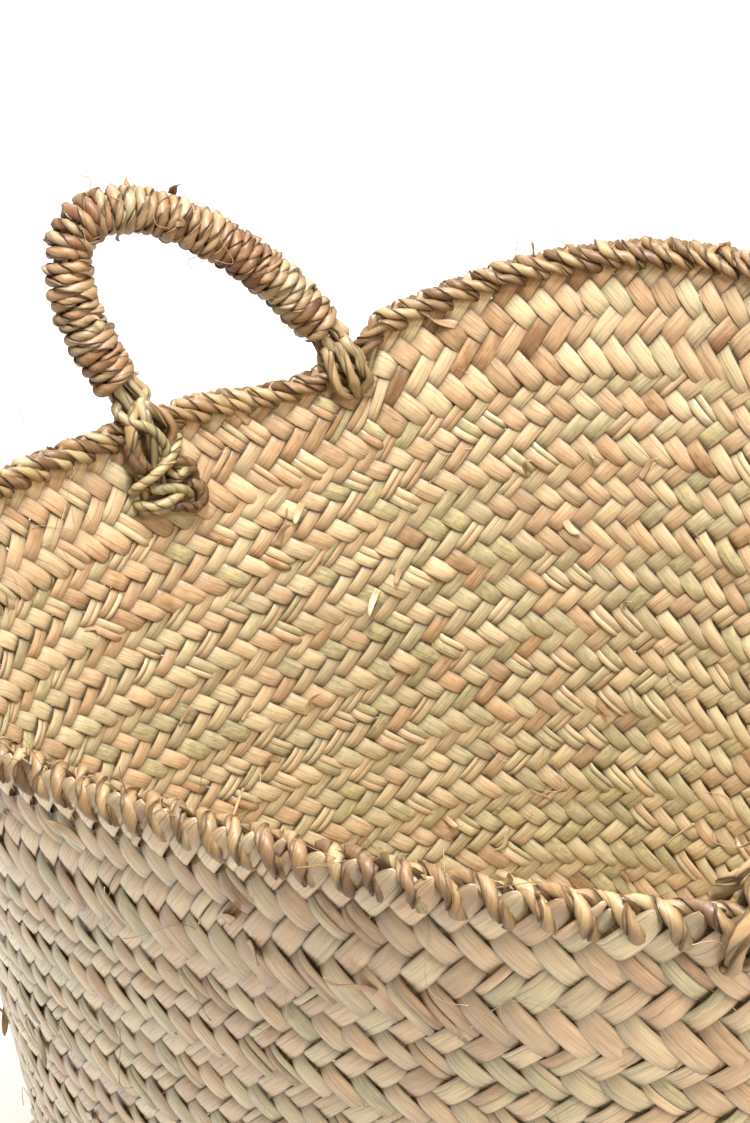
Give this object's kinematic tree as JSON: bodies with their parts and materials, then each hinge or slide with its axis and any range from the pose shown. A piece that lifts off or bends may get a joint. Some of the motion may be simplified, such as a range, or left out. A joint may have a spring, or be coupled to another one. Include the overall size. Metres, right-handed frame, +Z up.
{
  "type": "storage basket",
  "caption": "Soft oval basket of plaited leaf strips coiled from base to rim, with an overcast edge and cord-wrapped swinging handles.",
  "frame": {"origin": "middle of the flat base, on the face that rests on the floor", "axes": "+X along the oval towards the first handle, +Y across the oval, +Z up"},
  "size_m": [0.6041, 0.4884, 0.5431],
  "materials": {
    "plaited_leaf": "dry plaited leaf, satin with glossy floats",
    "sewing_cord": "dark twisted leaf cord",
    "rim_cord": "two-ply twisted leaf cord",
    "handle_strands": "twisted leaf strands",
    "knot_cord": "twisted leaf cord, olive brown",
    "handle_wrap": "two-ply twisted leaf cord, close turns"
  },
  "bodies": {
    "basket": {"base_centre": "plaited_leaf", "base_band_1": "plaited_leaf", "base_band_2": "plaited_leaf", "base_band_3": "plaited_leaf", "heel_band_1": "plaited_leaf", "heel_band_2": "plaited_leaf", "wall_band_1": "plaited_leaf", "wall_band_2": "plaited_leaf", "wall_band_3": "plaited_leaf", "wall_band_4": "plaited_leaf", "wall_band_5": "plaited_leaf", "wall_band_6": "plaited_leaf", "wall_band_7": "plaited_leaf", "rim_band": "plaited_leaf", "rim_cord": "rim_cord", "seam_cord_1": "sewing_cord", "seam_cord_2": "sewing_cord", "seam_cord_3": "sewing_cord", "seam_cord_4": "sewing_cord", "seam_cord_5": "sewing_cord", "seam_cord_6": "sewing_cord", "seam_cord_7": "sewing_cord", "seam_cord_8": "sewing_cord", "seam_cord_9": "sewing_cord", "seam_cord_10": "sewing_cord", "seam_cord_11": "sewing_cord", "seam_cord_12": "sewing_cord", "seam_cord_13": "sewing_cord", "handle_1_loop_a": "handle_strands", "handle_1_loop_b": "handle_strands", "handle_1_knot": "knot_cord", "handle_2_loop_a": "handle_strands", "handle_2_loop_b": "handle_strands", "handle_2_knot": "knot_cord"},
    "handle_1": {"handle_1_core": "handle_strands", "handle_1_wrap": "handle_wrap"},
    "handle_2": {"handle_2_core": "handle_strands", "handle_2_wrap": "handle_wrap"}
  },
  "joints": [
    {"name": "handle_1_swing", "type": "hinge", "parent": "basket", "child": "handle_1", "pos_m": [0.2606, 0.00601, 0.42914], "axis": [0.0565, 0.9959, -0.0711], "range_deg": [-50, 50]},
    {"name": "handle_2_swing", "type": "hinge", "parent": "basket", "child": "handle_2", "pos_m": [-0.28879, -0.00645, 0.4508], "axis": [0.1161, -0.9554, -0.2715], "range_deg": [-50, 50]}
  ]
}
